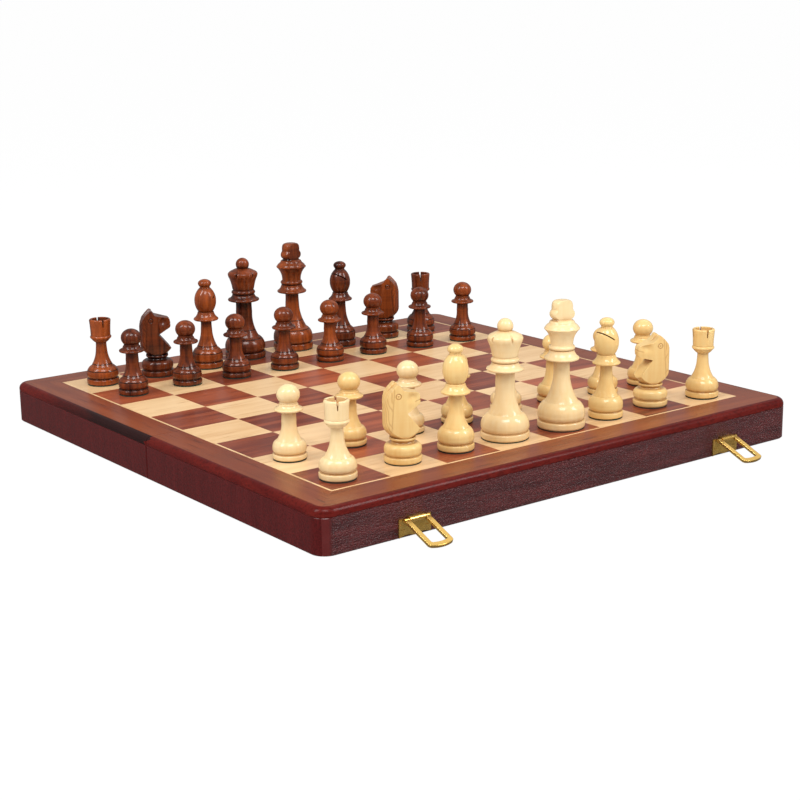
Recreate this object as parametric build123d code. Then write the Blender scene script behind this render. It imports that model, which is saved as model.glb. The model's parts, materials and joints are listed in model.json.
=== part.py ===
from build123d import *
import os
from math import cos, hypot, radians, sin

# A folding wooden chess box with its thirty-two men.  Two shallow half-boxes are hinged
# along their fold.  Opened flat, their veneered backs make the board; folded over, their
# rims meet and two brass hoops on the near half drop over catches on the far half.
#
# Millimetres.  The origin is on the fold line, in the plane of the rims.  +X runs along
# the files from a to h, +Y along the ranks from the near side to the far side, +Z up.

# ---- board -------------------------------------------------------------------------
FILES = 8               # squares along X
RANKS = 4               # squares along Y on each half
SQUARE = 42.0           # side of one square
BORDER = 27.0           # from the squares to the outer faces of the box
STRING_W = 1.5          # pale line inlaid round the squares
LIPPING = 4.4           # lacquered edge left bare outside the border veneer
BOX_H = 28.0            # rim to playing surface
PANEL_T = 5.6           # top panel, veneers included
VENEER_T = 0.6
RAIL_T = 9.0            # thickness of the side rails
CORNER_R = 10.0         # upright outer corners of the box
EDGE_R = 4.2            # rounding of the panel's upper edge
JOINT_V = 0.45          # fine V between the panel and the rails
EASE = 0.7              # softened edges at the fold and at the rim
FOLD_GAP = 0.3          # between the two halves when the board lies open
LINING_T = 0.8          # felt glued inside each half

# ---- hinges ------------------------------------------------------------------------
HINGE_X = 125.0         # hinge centres, either side of the middle
HINGE_LEN = 26.0
LEAF_W = 7.6            # from the pin's axis to the back of a leaf
LEAF_T = 1.0
BARREL_R = 1.1
PIN_R = 0.5
PIN_PLAY = 0.05         # radial, in the barrels
PIN_DROP = 0.05         # the pin's axis lies this far below the rims
KNUCKLE_GAP = 0.15      # between one knuckle and the next
HINGE_SCREW_X = 8.5     # screws, either side of a hinge's middle

# ---- latches -----------------------------------------------------------------------
LATCH_X = 130.0         # latch centres, either side of the middle
PLATE_W = 23.0
PLATE_H = 11.2
PLATE_T = 0.8
PLATE_UP = 0.4          # lower edge of the plate above the rim
LATCH_SCREW_X = 8.7
LATCH_SCREW_Z = 5.2     # screws above the rim
HOOP_Z = 10.9           # the hoop's axis above the rim
HOOP_OUT = 2.3          # the hoop's axis outside the front face
KNUCKLE_R = 1.7
KNUCKLE_LEN = 10.8
HOOP_W = 17.6
HOOP_LEN = 24.6         # axis to the corner of the hoop, before its bowed end
HOOP_BOW = 1.9          # how far the end bows outward
HOOP_BAR = 3.2          # width of the hoop's arms and end
HOOP_T = 1.8
HOOP_EYE_R = 1.1
HOOP_PIN_R = 0.8
HOOP_PLAY = 0.06        # radial, in the knuckle
HOOP_DROOP = 22.0       # degrees below level, its end lying on the table
CATCH_TONGUE_W = 7.0
CATCH_TONGUE_T = 0.9
CATCH_GAP = 0.45        # clearance between the catch and the closed hoop
CATCH_LIP = 1.0         # the lip that keeps the hoop on

# ---- screws ------------------------------------------------------------------------
SCREW_HEAD_R = 1.5
SCREW_HEAD_H = 0.8
SCREW_SHANK_R = 0.75
SCREW_LEN = 6.0
SCREW_FIT = 0.02        # radial, in the wood and the metal
SCREW_SLOT = 0.4

# ---- men: shared turnings ----------------------------------------------------------
FELT_T = 0.8            # disc under every man
FELT_IN = 0.5           # the disc stops this far inside the foot
FOOT_ROUND = 0.9        # rounded edges of the foot
GROOVE = 1.1            # depth of the groove over the foot
STEP = 0.5              # step between the swelling and the stem
EDGE_THIN = 1.7         # thickness of a collar at its edge
COLLAR_UNDER = 1.0      # rise of a collar's underside
BALL_STOP = 82.0        # a ball is turned up to this angle, which leaves a small flat

# ---- men: one set of sizes each ----------------------------------------------------
PAWN_H, PAWN_FOOT_R, PAWN_FOOT_H = 46.5, 10.6, 3.3
PAWN_SWELL_Z, PAWN_STEP_R, PAWN_STEP_Z = 7.5, 8.2, 12.0
PAWN_STEM_R, PAWN_COLLAR_R, PAWN_COLLAR_Z = 4.4, 8.7, 29.3
PAWN_NECK_R, PAWN_NECK_Z, PAWN_HEAD_R, PAWN_HEAD_RISE = 5.3, 34.9, 7.1, 6.3

ROOK_H, ROOK_FOOT_R, ROOK_FOOT_H = 47.5, 11.4, 3.9
ROOK_SWELL_Z, ROOK_STEP_R, ROOK_STEP_Z = 8.0, 8.4, 13.4
ROOK_STEM_R, ROOK_HEAD_Z, ROOK_BEAD_R, ROOK_WALL_R = 3.8, 30.6, 7.4, 7.0
ROOK_TOP_R, ROOK_CUP_R, ROOK_CUP_D = 7.6, 5.6, 3.4
ROOK_SAW_W, ROOK_SAW_D = 1.5, 5.4

BISHOP_H, BISHOP_FOOT_R, BISHOP_FOOT_H = 66.5, 11.5, 4.0
BISHOP_SWELL_Z, BISHOP_STEP_R, BISHOP_STEP_Z = 8.4, 8.7, 14.6
BISHOP_STEM_R, BISHOP_COLLAR_R, BISHOP_COLLAR_Z = 4.0, 9.1, 34.9
BISHOP_NECK_R, BISHOP_NECK_Z, BISHOP_MITRE_R, BISHOP_MITRE_Z = 5.4, 42.4, 8.0, 50.8
BISHOP_TIP_R, BISHOP_FINIAL_R, BISHOP_FINIAL_RISE = 3.7, 4.9, 3.2
BISHOP_CUT_T, BISHOP_CUT_Z, BISHOP_CUT_SLOPE = 0.8, 52.8, 35.0

QUEEN_H, QUEEN_FOOT_R, QUEEN_FOOT_H = 76.5, 15.5, 4.2
QUEEN_SWELL_Z, QUEEN_STEP_R, QUEEN_STEP_Z = 9.0, 11.1, 16.4
QUEEN_STEM_R, QUEEN_COLLAR_R, QUEEN_COLLAR_Z = 6.0, 11.8, 42.9
QUEEN_RING_R, QUEEN_RING_Z, QUEEN_CORONET_R, QUEEN_CORONET_Z = 8.7, 50.6, 11.4, 65.4
QUEEN_BALL_R, QUEEN_BALL_RISE = 5.1, 4.1
QUEEN_SCALLOPS, QUEEN_SCALLOP_R, QUEEN_SCALLOP_D = 5, 25.0, 2.2

KING_H, KING_FOOT_R, KING_FOOT_H = 83.0, 15.4, 4.6
KING_SWELL_Z, KING_STEP_R, KING_STEP_Z = 9.6, 11.4, 17.2
KING_STEM_R, KING_COLLAR_R, KING_COLLAR_Z = 5.1, 11.2, 43.7
KING_RING_R, KING_RING_Z, KING_CROWN_R, KING_CROWN_Z = 8.1, 52.6, 11.1, 65.0
CROSS_ARM_R, CROSS_TOP_R, CROSS_WAIST_R, CROSS_FLAT = 7.8, 6.2, 5.3, 4.7
CROSS_H, CROSS_ARM_RISE = 11.4, 2.7

KNIGHT_H, KNIGHT_FOOT_R, KNIGHT_FOOT_H = 48.5, 11.6, 3.8
KNIGHT_SWELL_Z, KNIGHT_NECK_R, KNIGHT_NECK_Z = 8.2, 6.7, 13.0
KNIGHT_RING_R, KNIGHT_RING_Z = 7.7, 15.0
KNIGHT_BLANK_R = 12.0   # the turned blank that the head is carved from
KNIGHT_FLAT = 6.9       # the cheeks are sawn flat this far from the middle
KNIGHT_THROAT_Z = 33.0
KNIGHT_CHEST_Z = 22.0
KNIGHT_NOSE = 8.9       # muzzle ahead of the axis
KNIGHT_NOSE_Z = 38.6
KNIGHT_SCOOP_R = 5.0    # gouge along each side of the muzzle
KNIGHT_BRIDGE = 4.1     # half width left along the nose
KNIGHT_EAR_X = -4.6
KNIGHT_EAR_SPLIT = 3.6  # width of the V between the ears
KNIGHT_EAR_DEPTH = 4.2
KNIGHT_EYE_X = -4.3
KNIGHT_EYE_Z = 41.6
KNIGHT_EYE_R = 1.5
KNIGHT_CUT = 0.35       # width and depth of the fine cuts
MANE_LOCKS = 4

# ---- where the men stand -----------------------------------------------------------
BACK_RANK = ["rook", "knight", "bishop", "queen", "king", "bishop", "knight", "rook"]
# Set out by hand: how far each man is off the middle of its square along X and Y, and
# how far its front is turned from +X, in degrees.
SET_OUT = {
    "a1": (-5.0, -4.5, 60), "b1": (3.0, -1.0, -12), "c1": (1.5, -1.5, 60), "d1": (0.5, 0.0, 8),
    "e1": (3.0, -3.5, -74), "f1": (0.0, -4.0, 178), "g1": (2.5, -1.0, 167), "h1": (4.5, -7.0, -25),
    "a2": (-4.0, 5.5, 0), "b2": (0.5, 8.0, 0), "c2": (4.5, 8.5, 0), "d2": (1.0, 6.5, 0),
    "e2": (4.0, 10.0, 0), "f2": (2.0, 8.0, 0), "g2": (1.0, 1.5, 0), "h2": (-1.0, 3.0, 0),
    "a7": (1.5, 1.5, 0), "b7": (3.0, 2.0, 0), "c7": (0.5, -1.0, 0), "d7": (-0.5, -2.5, 0),
    "e7": (-1.0, -2.0, 0), "f7": (-2.5, -2.0, 0), "g7": (-2.0, -6.0, 0), "h7": (-4.5, -10.5, 0),
    "a8": (-1.0, 0.5, -11), "b8": (0.5, -1.5, -5), "c8": (0.0, -3.0, 15), "d8": (-2.0, 8.0, 35),
    "e8": (1.0, 9.5, -77), "f8": (-5.0, -4.5, 187), "g8": (-3.0, -2.5, 155), "h8": (-8.5, -3.5, -35),
}

# ---- worked out from the above -----------------------------------------------------
HALF_X = FILES * SQUARE / 2 + BORDER
HALF_Y = RANKS * SQUARE + BORDER
FOLD_Y = FOLD_GAP / 2
RAIL_H = BOX_H - PANEL_T
VENEER_Z = BOX_H - VENEER_T
PLATE_TOP = PLATE_UP + PLATE_H
HOOP_INNER_END = HOOP_LEN + HOOP_BOW - HOOP_BAR
SWING_ROUND = Rot(0, 0, 180)


def block(x, y, z):
    """A box between two limits along each axis."""
    size = [high - low for low, high in (x, y, z)]
    middle = [(low + high) / 2 for low, high in (x, y, z)]
    return Pos(*middle) * Box(*size)


def bar(x, y, z, radius):
    """A round bar along X between two limits, centred on y and z."""
    length = x[1] - x[0]
    return Pos((x[0] + x[1]) / 2, y, z) * Rot(0, 90, 0) * Cylinder(radius, length)


def outline(points):
    """A closed face through points of (across, up, bow); bow is how far the edge that ends
    at that point swells out of the face, and a negative bow hollows it."""
    edges = []
    for (x0, y0, _), (x1, y1, bow) in zip(points, points[1:] + points[:1]):
        length = hypot(x1 - x0, y1 - y0)
        if length < 1e-6:
            continue
        if abs(bow) < 1e-6:
            edges.append(Line((x0, y0), (x1, y1)))
            continue
        out_x, out_y = (y1 - y0) / length, (x0 - x1) / length
        middle = ((x0 + x1) / 2 + bow * out_x, (y0 + y1) / 2 + bow * out_y)
        edges.append(ThreePointArc((x0, y0), middle, (x1, y1)))
    return Face(Wire(edges))


def turned(points):
    """A solid of revolution about Z from (radius, height, bow) points."""
    return revolve(Plane.XZ * outline(points), Axis.Z, 360)


def knob(radius, rise, middle, start):
    """Points up a ball or flattened knob, from an angle below its widest ring to the small
    flat that the lathe leaves on its top, and in to the axis."""
    arcs = 5
    half = radians((BALL_STOP - start) / arcs / 2)
    points = [(radius * cos(radians(start)), middle + rise * sin(radians(start)), 0)]
    for i in range(arcs):
        a = radians(start) + (2 * i + 1) * half
        chord_x = radius * (cos(a - half) + cos(a + half)) / 2
        chord_z = rise * (sin(a - half) + sin(a + half)) / 2
        bow = hypot(radius * cos(a) - chord_x, rise * sin(a) - chord_z)
        points.append((radius * cos(a + half), middle + rise * sin(a + half), bow))
    return points + [(0, points[-1][1], 0)]


# ---- the box -----------------------------------------------------------------------
def half_plan(inset):
    """Plan of the near half, set in from its three outer sides, as a face at z = 0."""
    x, y = HALF_X - inset, HALF_Y - inset
    corner = CORNER_R - inset
    plan = Pos(0, -(y + FOLD_Y) / 2) * Rectangle(2 * x, y - FOLD_Y)
    front = plan.vertices().group_by(Axis.Y)[0]
    return fillet(front, corner)


def half_body(z0, z1):
    """Solid of the near half's plan between two heights, its fold corners softened."""
    solid = Pos(0, 0, z0) * extrude(half_plan(0), z1 - z0)
    uprights = solid.edges().filter_by(Axis.Z).group_by(Axis.Y)[-1]
    return chamfer(uprights, EASE)


def outer_edges(solid, top):
    """The edges round the three outer sides of a half, at its top or its bottom."""
    level = solid.edges().group_by(Axis.Z)[-1 if top else 0]
    return level.filter_by(lambda edge: edge.center().Y < -FOLD_Y - EASE)


def top_panel():
    """Veneered panel: edge rounded over, a recess for the veneers, a fine V under it."""
    panel = half_body(RAIL_H, BOX_H)
    panel = fillet(outer_edges(panel, True), EDGE_R)
    panel = chamfer(outer_edges(panel, False), JOINT_V)
    return panel - Pos(0, 0, VENEER_Z) * extrude(half_plan(LIPPING), 2 * VENEER_T)


def squares(dark):
    """The dark or the pale veneer squares of the near half."""
    made = []
    for file in range(FILES):
        for rank in range(RANKS):
            if ((file + rank) % 2 == 0) != dark:
                continue
            x = (file - FILES / 2) * SQUARE
            y = (rank - RANKS) * SQUARE
            top = min(y + SQUARE, -FOLD_Y)
            made.append(block((x, x + SQUARE), (y, top), (VENEER_Z, BOX_H)))
    return made


def playing_area(margin):
    """Block under the near half's squares, with a margin on its three outer sides."""
    x = FILES * SQUARE / 2 + margin
    y = RANKS * SQUARE + margin
    return block((-x, x), (-y, -FOLD_Y), (VENEER_Z, BOX_H))


def stringing():
    """Pale line round the squares."""
    return playing_area(STRING_W) - playing_area(0)


def border_veneer():
    """Dark veneer from the stringing out to the lipping."""
    sheet = Pos(0, 0, VENEER_Z) * extrude(half_plan(LIPPING), VENEER_T)
    return sheet - playing_area(STRING_W)


def rail_ring():
    """The four rails of the near half in one piece, before they are parted."""
    ring = half_body(0, RAIL_H)
    ring = chamfer(outer_edges(ring, False), EASE)
    ring = chamfer(outer_edges(ring, True), JOINT_V)
    inner_y = (-HALF_Y + RAIL_T, -FOLD_Y - RAIL_T)
    hollow = block((-HALF_X + RAIL_T, HALF_X - RAIL_T), inner_y, (-1, RAIL_H + 1))
    return ring - hollow


def prism(corners):
    """Upright prism over a plan of corners, as tall as the rails."""
    return extrude(make_face(Polyline(*corners, close=True)), RAIL_H)


def front_rail(ring):
    """Rail along the outer side, mitred into the side rails, bored for the latch screws."""
    inner_x, inner_y = HALF_X - RAIL_T, -HALF_Y + RAIL_T
    corners = [(-HALF_X, -HALF_Y), (HALF_X, -HALF_Y), (inner_x, inner_y), (-inner_x, inner_y)]
    rail = ring & prism(corners)
    for screw in latch_screws(SCREW_FIT):
        rail -= screw
    return rail


def side_rail(ring, side):
    """Rail at the left (-1) or right (+1), mitred in front and running on to the fold."""
    x, inner_x, inner_y = side * HALF_X, side * (HALF_X - RAIL_T), -HALF_Y + RAIL_T
    corners = [(x, -HALF_Y), (inner_x, inner_y), (inner_x, -FOLD_Y), (x, -FOLD_Y)]
    return ring & prism(corners)


def fold_rail():
    """Rail along the fold, between the side rails, let in for the hinges."""
    x = HALF_X - RAIL_T
    rail = block((-x, x), (-FOLD_Y - RAIL_T, -FOLD_Y), (0, RAIL_H))
    groove_r = BARREL_R + KNUCKLE_GAP
    for side in (-1, 1):
        ends = (side * HINGE_X - HINGE_LEN / 2, side * HINGE_X + HINGE_LEN / 2)
        wide = (ends[0] - KNUCKLE_GAP, ends[1] + KNUCKLE_GAP)
        rail -= bar(wide, 0, -PIN_DROP, groove_r)
        rail -= block(wide, (-LEAF_W - KNUCKLE_GAP, 0), (-1, LEAF_T))
    for screw in hinge_screws(SCREW_FIT):
        rail -= screw
    return rail


def lining():
    """Felt glued under the panel, between the rails."""
    x = HALF_X - RAIL_T
    return block((-x, x), (-HALF_Y + RAIL_T, -FOLD_Y - RAIL_T), (RAIL_H - LINING_T, RAIL_H))


# ---- screws, hinges and latches ----------------------------------------------------
def screw(fit):
    """Countersunk wood screw along -Z, its head flush at z = 0, with its driving slot when
    fit is 0.  A positive fit makes the cutter for its hole."""
    head, shank = SCREW_HEAD_R + fit, SCREW_SHANK_R + fit
    points = [(0, -SCREW_LEN - fit, 0), (shank / 3, -SCREW_LEN - fit, 0),
              (shank, -SCREW_LEN + 1.5, 0), (shank, -SCREW_HEAD_H, 0), (head, 0, 0), (0, 0, 0)]
    body = turned(points)
    if fit:
        return body
    return body - block((-head, head), (-SCREW_SLOT / 2, SCREW_SLOT / 2), (-SCREW_SLOT, 1))


def latch_screws(fit=0):
    """Four screws through the two latch plates into the front rail."""
    face = -HALF_Y - PLATE_T
    placed = []
    for side in (-1, 1):
        for across in (-1, 1):
            x = side * LATCH_X + across * LATCH_SCREW_X
            placed.append(Pos(x, face, LATCH_SCREW_Z) * Rot(90, 0, 0) * screw(fit))
    return placed


def hinge_screws(fit=0):
    """Four screws through the two near hinge leaves into the fold rail."""
    placed = []
    for side in (-1, 1):
        for across in (-1, 1):
            x = side * HINGE_X + across * HINGE_SCREW_X
            placed.append(Pos(x, -LEAF_W * 0.62, 0) * Rot(180, 0, 0) * screw(fit))
    return placed


def knuckle_ends(near):
    """Where the knuckles of one leaf begin and end: two outer ones, or the middle one."""
    third = HINGE_LEN / 6
    if near:
        return [(-HINGE_LEN / 2, -third - KNUCKLE_GAP / 2), (third + KNUCKLE_GAP / 2, HINGE_LEN / 2)]
    return [(-third + KNUCKLE_GAP / 2, third - KNUCKLE_GAP / 2)]


def hinge_leaf(x, near):
    """One leaf with its knuckles round the pin, let in flush with the rims."""
    away = -1 if near else 1
    clear = BARREL_R + KNUCKLE_GAP
    y = sorted((away * clear, away * LEAF_W))
    leaf = block((x - HINGE_LEN / 2, x + HINGE_LEN / 2), y, (0, LEAF_T))
    for low, high in knuckle_ends(near):
        ends = (x + low, x + high)
        leaf += block(ends, sorted((0, away * clear * 1.2)), (0, LEAF_T))
        leaf += bar(ends, 0, -PIN_DROP, BARREL_R)
    leaf -= bar((x - HINGE_LEN, x + HINGE_LEN), 0, -PIN_DROP, PIN_R + PIN_PLAY)
    for head in hinge_screws(SCREW_FIT):
        leaf -= head if near else SWING_ROUND * head
    return leaf


def hinge_pin(x):
    """Pin through the three knuckles of one hinge."""
    return bar((x - HINGE_LEN / 2, x + HINGE_LEN / 2), 0, -PIN_DROP, PIN_R)


def plate_blank(x):
    """Stamped plate on the front face, its lower edge waved, with its two screw holes."""
    half, lobe = PLATE_W / 2, PLATE_W / 6
    dip = PLATE_UP + 1.2
    points = [(-half, PLATE_UP, 0), (-lobe, dip, -0.5), (lobe, dip, 1.0), (half, PLATE_UP, -0.5),
              (half, PLATE_TOP, 0), (-half, PLATE_TOP, 0)]
    plate = extrude(Plane.XZ * outline(points), PLATE_T)
    plate = Pos(x, -HALF_Y, 0) * plate
    for cutter in latch_screws(SCREW_FIT):
        plate -= cutter
    return plate


def latch_plate(x):
    """Plate whose raised middle rolls over into the knuckle that carries the hoop."""
    axis_y = -HALF_Y - HOOP_OUT
    ends = (x - KNUCKLE_LEN / 2, x + KNUCKLE_LEN / 2)
    plate = plate_blank(x)
    plate += block(ends, (axis_y, -HALF_Y), (HOOP_Z - 1, HOOP_Z + KNUCKLE_R))
    plate += bar(ends, axis_y, HOOP_Z, KNUCKLE_R)
    return plate - bar(ends, axis_y, HOOP_Z, HOOP_PIN_R + HOOP_PLAY)


def hoop(x):
    """Flat hoop with a bowed end, an eye at each arm and the pin through the knuckle."""
    half, inner = HOOP_W / 2, HOOP_W / 2 - HOOP_BAR
    outer = outline([(-half, 0, 0), (-half, -HOOP_LEN, 0), (half, -HOOP_LEN, HOOP_BOW), (half, 0, 0)])
    outer = fillet(outer.vertices().group_by(Axis.Y)[0], HOOP_BAR * 0.8)
    window = outline([(-inner, 1, 0), (-inner, -HOOP_LEN + HOOP_BAR * 0.7, 0),
                      (inner, -HOOP_LEN + HOOP_BAR * 0.7, HOOP_BOW * 0.4), (inner, 1, 0)])
    window = fillet(window.vertices().group_by(Axis.Y)[0], HOOP_BAR * 0.3)
    flat = extrude(outer, HOOP_T / 2, both=True) - extrude(window, HOOP_T, both=True)
    flat = fillet(flat.edges().group_by(Axis.Z)[-1], HOOP_T / 6)
    for side in (-1, 1):
        flat += bar(sorted((side * inner, side * half)), 0, 0, HOOP_EYE_R)
    flat += bar((-inner, inner), 0, 0, HOOP_PIN_R)
    return Pos(x, -HALF_Y - HOOP_OUT, HOOP_Z) * Rot(HOOP_DROOP, 0, 0) * flat


def catch(x):
    """Plate on the far face with a tongue that the closed hoop drops over."""
    # The hoop hangs straight down on the closed box, so its end lies as far below the
    # rims as the tongue stands above them on the open board.
    end_z = HOOP_LEN - HOOP_BAR * 0.7 + HOOP_BOW * 0.4 - HOOP_Z
    top = end_z - CATCH_GAP
    lip_y = HALF_Y + HOOP_OUT + HOOP_T / 2 + CATCH_GAP
    tongue = (x - CATCH_TONGUE_W / 2, x + CATCH_TONGUE_W / 2)
    plate = SWING_ROUND * plate_blank(-x)
    plate += block(tongue, (HALF_Y, HALF_Y + PLATE_T), (PLATE_UP + 2, top))
    plate += block(tongue, (HALF_Y, lip_y + CATCH_TONGUE_T), (top - CATCH_TONGUE_T, top))
    lip = (top - CATCH_TONGUE_T, end_z + CATCH_LIP)
    return plate + block(tongue, (lip_y, lip_y + CATCH_TONGUE_T), lip)


# ---- the men -----------------------------------------------------------------------
def foot(foot_r, foot_h, swell_z, step_r, step_z):
    """Outline of a man's foot, groove and swelling, from the felt up to the step."""
    top = FELT_T + foot_h
    groove_z = top + FOOT_ROUND * 0.6
    return [
        (0, FELT_T, 0),
        (foot_r - FOOT_ROUND, FELT_T, 0),
        (foot_r, FELT_T + FOOT_ROUND, FOOT_ROUND * 0.25),
        (foot_r, top - FOOT_ROUND, 0),
        (foot_r - GROOVE, top, FOOT_ROUND * 0.3),
        (foot_r - GROOVE, groove_z, -0.15),
        (foot_r - GROOVE * 0.15, swell_z, (swell_z - groove_z) * 0.12),
        (step_r, step_z, (step_z - swell_z) * 0.14),
    ]


def stem(step_r, step_z, stem_r, top_z, hollow):
    """Outline of the stem: it starts inside the step and sweeps up to its full slimness."""
    slim_z = step_z + (top_z - step_z) * 0.72
    return [(step_r - STEP, step_z + 0.1, 0), (stem_r + 0.2, slim_z, -hollow), (stem_r, top_z, -0.1)]


def collar(radius, z, neck_r, neck_z):
    """Outline of a collar: thin rounded edge, hollow cone above, up to the neck."""
    edge = z + COLLAR_UNDER
    return [
        (radius - EDGE_THIN * 0.4, edge, 0),
        (radius - EDGE_THIN * 0.3, edge + EDGE_THIN, EDGE_THIN * 0.4),
        (neck_r + 0.7, neck_z - 1.1, -0.35),
        (neck_r + 0.5, neck_z - 0.4, 0.12),
        (neck_r, neck_z, 0),
    ]


def pawn():
    """Ball head over a sharp collar."""
    points = foot(PAWN_FOOT_R, PAWN_FOOT_H, PAWN_SWELL_Z, PAWN_STEP_R, PAWN_STEP_Z)
    points += stem(PAWN_STEP_R, PAWN_STEP_Z, PAWN_STEM_R, PAWN_COLLAR_Z, 1.1)
    points += collar(PAWN_COLLAR_R, PAWN_COLLAR_Z, PAWN_NECK_R, PAWN_NECK_Z)
    points += knob(PAWN_HEAD_R, PAWN_HEAD_RISE, PAWN_H - PAWN_HEAD_RISE, -42)
    return turned(points)


def rook():
    """Cup head on a bead, sawn across twice for its battlements."""
    wall_z = ROOK_HEAD_Z + 5.6
    points = foot(ROOK_FOOT_R, ROOK_FOOT_H, ROOK_SWELL_Z, ROOK_STEP_R, ROOK_STEP_Z)
    points += stem(ROOK_STEP_R, ROOK_STEP_Z, ROOK_STEM_R, ROOK_HEAD_Z, 0.9)
    points += [
        (ROOK_BEAD_R - 0.7, wall_z - 2.8, 0.3),
        (ROOK_BEAD_R - 0.4, wall_z - 0.6, 0.7),
        (ROOK_WALL_R, wall_z, -0.1),
        (ROOK_TOP_R, ROOK_H - 0.9, -0.12),
        (ROOK_TOP_R - 0.9, ROOK_H, 0.25),
        (ROOK_CUP_R, ROOK_H - 0.3, 0.1),
        (ROOK_CUP_R - 0.6, ROOK_H - ROOK_CUP_D, -0.1),
        (0, ROOK_H - ROOK_CUP_D, 0),
    ]
    man = turned(points)
    wide, narrow = ROOK_SAW_W / 2, ROOK_SAW_W / 6
    section = [(-wide, ROOK_H + 1, 0), (-narrow, ROOK_H - ROOK_SAW_D, 0),
               (narrow, ROOK_H - ROOK_SAW_D, 0), (wide, ROOK_H + 1, 0)]
    saw = extrude(Plane.XZ * outline(section), ROOK_BEAD_R + 2, both=True)
    return man - saw - Rot(0, 0, 90) * saw


def bishop():
    """Egg-shaped mitre with a slanting saw cut, under a flattened finial."""
    finial_z = BISHOP_H - BISHOP_FINIAL_RISE
    tip_z = finial_z - BISHOP_FINIAL_RISE
    points = foot(BISHOP_FOOT_R, BISHOP_FOOT_H, BISHOP_SWELL_Z, BISHOP_STEP_R, BISHOP_STEP_Z)
    points += stem(BISHOP_STEP_R, BISHOP_STEP_Z, BISHOP_STEM_R, BISHOP_COLLAR_Z, 1.0)
    points += collar(BISHOP_COLLAR_R, BISHOP_COLLAR_Z, BISHOP_NECK_R, BISHOP_NECK_Z)
    points += [
        (BISHOP_MITRE_R, BISHOP_MITRE_Z, 0.75),
        (BISHOP_TIP_R + 0.4, tip_z - 0.2, 1.0),
        (BISHOP_TIP_R, tip_z + 0.2, -0.1),
    ]
    points += knob(BISHOP_FINIAL_R, BISHOP_FINIAL_RISE, finial_z, -38)
    reach = BISHOP_MITRE_R * 2
    cut = block((0, reach), (-reach, reach), (-BISHOP_CUT_T / 2, BISHOP_CUT_T / 2))
    cut = Pos(0, 0, BISHOP_CUT_Z) * Rot(0, -BISHOP_CUT_SLOPE, 0) * cut
    return turned(points) - cut


def queen():
    """Scalloped coronet over a ring and a wide collar, with a ball on top."""
    ball_z = QUEEN_H - QUEEN_BALL_RISE
    points = foot(QUEEN_FOOT_R, QUEEN_FOOT_H, QUEEN_SWELL_Z, QUEEN_STEP_R, QUEEN_STEP_Z)
    points += stem(QUEEN_STEP_R, QUEEN_STEP_Z, QUEEN_STEM_R, QUEEN_COLLAR_Z, 1.5)
    points += collar(QUEEN_COLLAR_R, QUEEN_COLLAR_Z, QUEEN_RING_R - 0.8, QUEEN_RING_Z - 1.5)
    points += [
        (QUEEN_RING_R - 0.6, QUEEN_RING_Z + 1.3, 1.0),
        (QUEEN_RING_R - 0.9, QUEEN_RING_Z + 1.9, -0.1),
        (QUEEN_CORONET_R - 0.4, QUEEN_CORONET_Z - 1.4, -1.0),
        (QUEEN_CORONET_R - 1.2, QUEEN_CORONET_Z + 2.0, 1.0),
        (QUEEN_BALL_R + 0.6, ball_z - QUEEN_BALL_RISE + 0.3, 0.2),
        (QUEEN_BALL_R - 0.6, ball_z - QUEEN_BALL_RISE + 0.9, -0.1),
    ]
    points += knob(QUEEN_BALL_R, QUEEN_BALL_RISE, ball_z, -35)
    man = turned(points)
    out = QUEEN_CORONET_R - QUEEN_SCALLOP_D + QUEEN_SCALLOP_R
    for i in range(QUEEN_SCALLOPS):
        cutter = Pos(out, 0, QUEEN_CORONET_Z) * Cylinder(QUEEN_SCALLOP_R, 10)
        man -= Rot(0, 0, i * 360 / QUEEN_SCALLOPS) * cutter
    return man


def king_cross():
    """Turned finial sawn flat on two sides, which leaves a thick cross."""
    low = KING_H - CROSS_H
    arm_z = low + 0.9 + CROSS_ARM_RISE
    points = [
        (0, low - 1.5, 0),
        (CROSS_WAIST_R, low - 1.5, 0),
        (CROSS_WAIST_R - 0.4, low + 0.6, 0),
        (CROSS_ARM_R - 1.4, arm_z - CROSS_ARM_RISE * 0.8, 0),
        (CROSS_ARM_R - 1.4, arm_z + CROSS_ARM_RISE * 0.8, 1.4),
        (CROSS_WAIST_R, arm_z + CROSS_ARM_RISE + 0.3, -0.2),
        (CROSS_TOP_R, KING_H - 3.3, -0.1),
        (CROSS_TOP_R, KING_H - 0.8, 0.1),
        (CROSS_TOP_R - 0.9, KING_H, 0.25),
        (0, KING_H, 0),
    ]
    reach = CROSS_ARM_R + 1
    slab = block((-reach, reach), (-CROSS_FLAT, CROSS_FLAT), (low - 2, KING_H + 1))
    return turned(points) & slab


def king():
    """Flared crown over a ring and a collar, with the cross on top."""
    dome_z = KING_H - CROSS_H
    points = foot(KING_FOOT_R, KING_FOOT_H, KING_SWELL_Z, KING_STEP_R, KING_STEP_Z)
    points += stem(KING_STEP_R, KING_STEP_Z, KING_STEM_R, KING_COLLAR_Z, 1.4)
    points += collar(KING_COLLAR_R, KING_COLLAR_Z, KING_RING_R - 0.7, KING_RING_Z - 1.5)
    points += [
        (KING_RING_R - 0.5, KING_RING_Z + 1.3, 1.0),
        (KING_RING_R - 0.9, KING_RING_Z + 1.9, -0.1),
        (KING_CROWN_R - 0.6, KING_CROWN_Z - 1.3, -0.9),
        (KING_CROWN_R - 1.0, KING_CROWN_Z + 2.2, 1.2),
        (CROSS_ARM_R + 0.6, dome_z - 2.6, -0.3),
        (CROSS_ARM_R - 0.2, dome_z - 0.9, 0.5),
        (CROSS_WAIST_R, dome_z, -0.1),
        (0, dome_z, 0),
    ]
    return turned(points) + king_cross()


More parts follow.
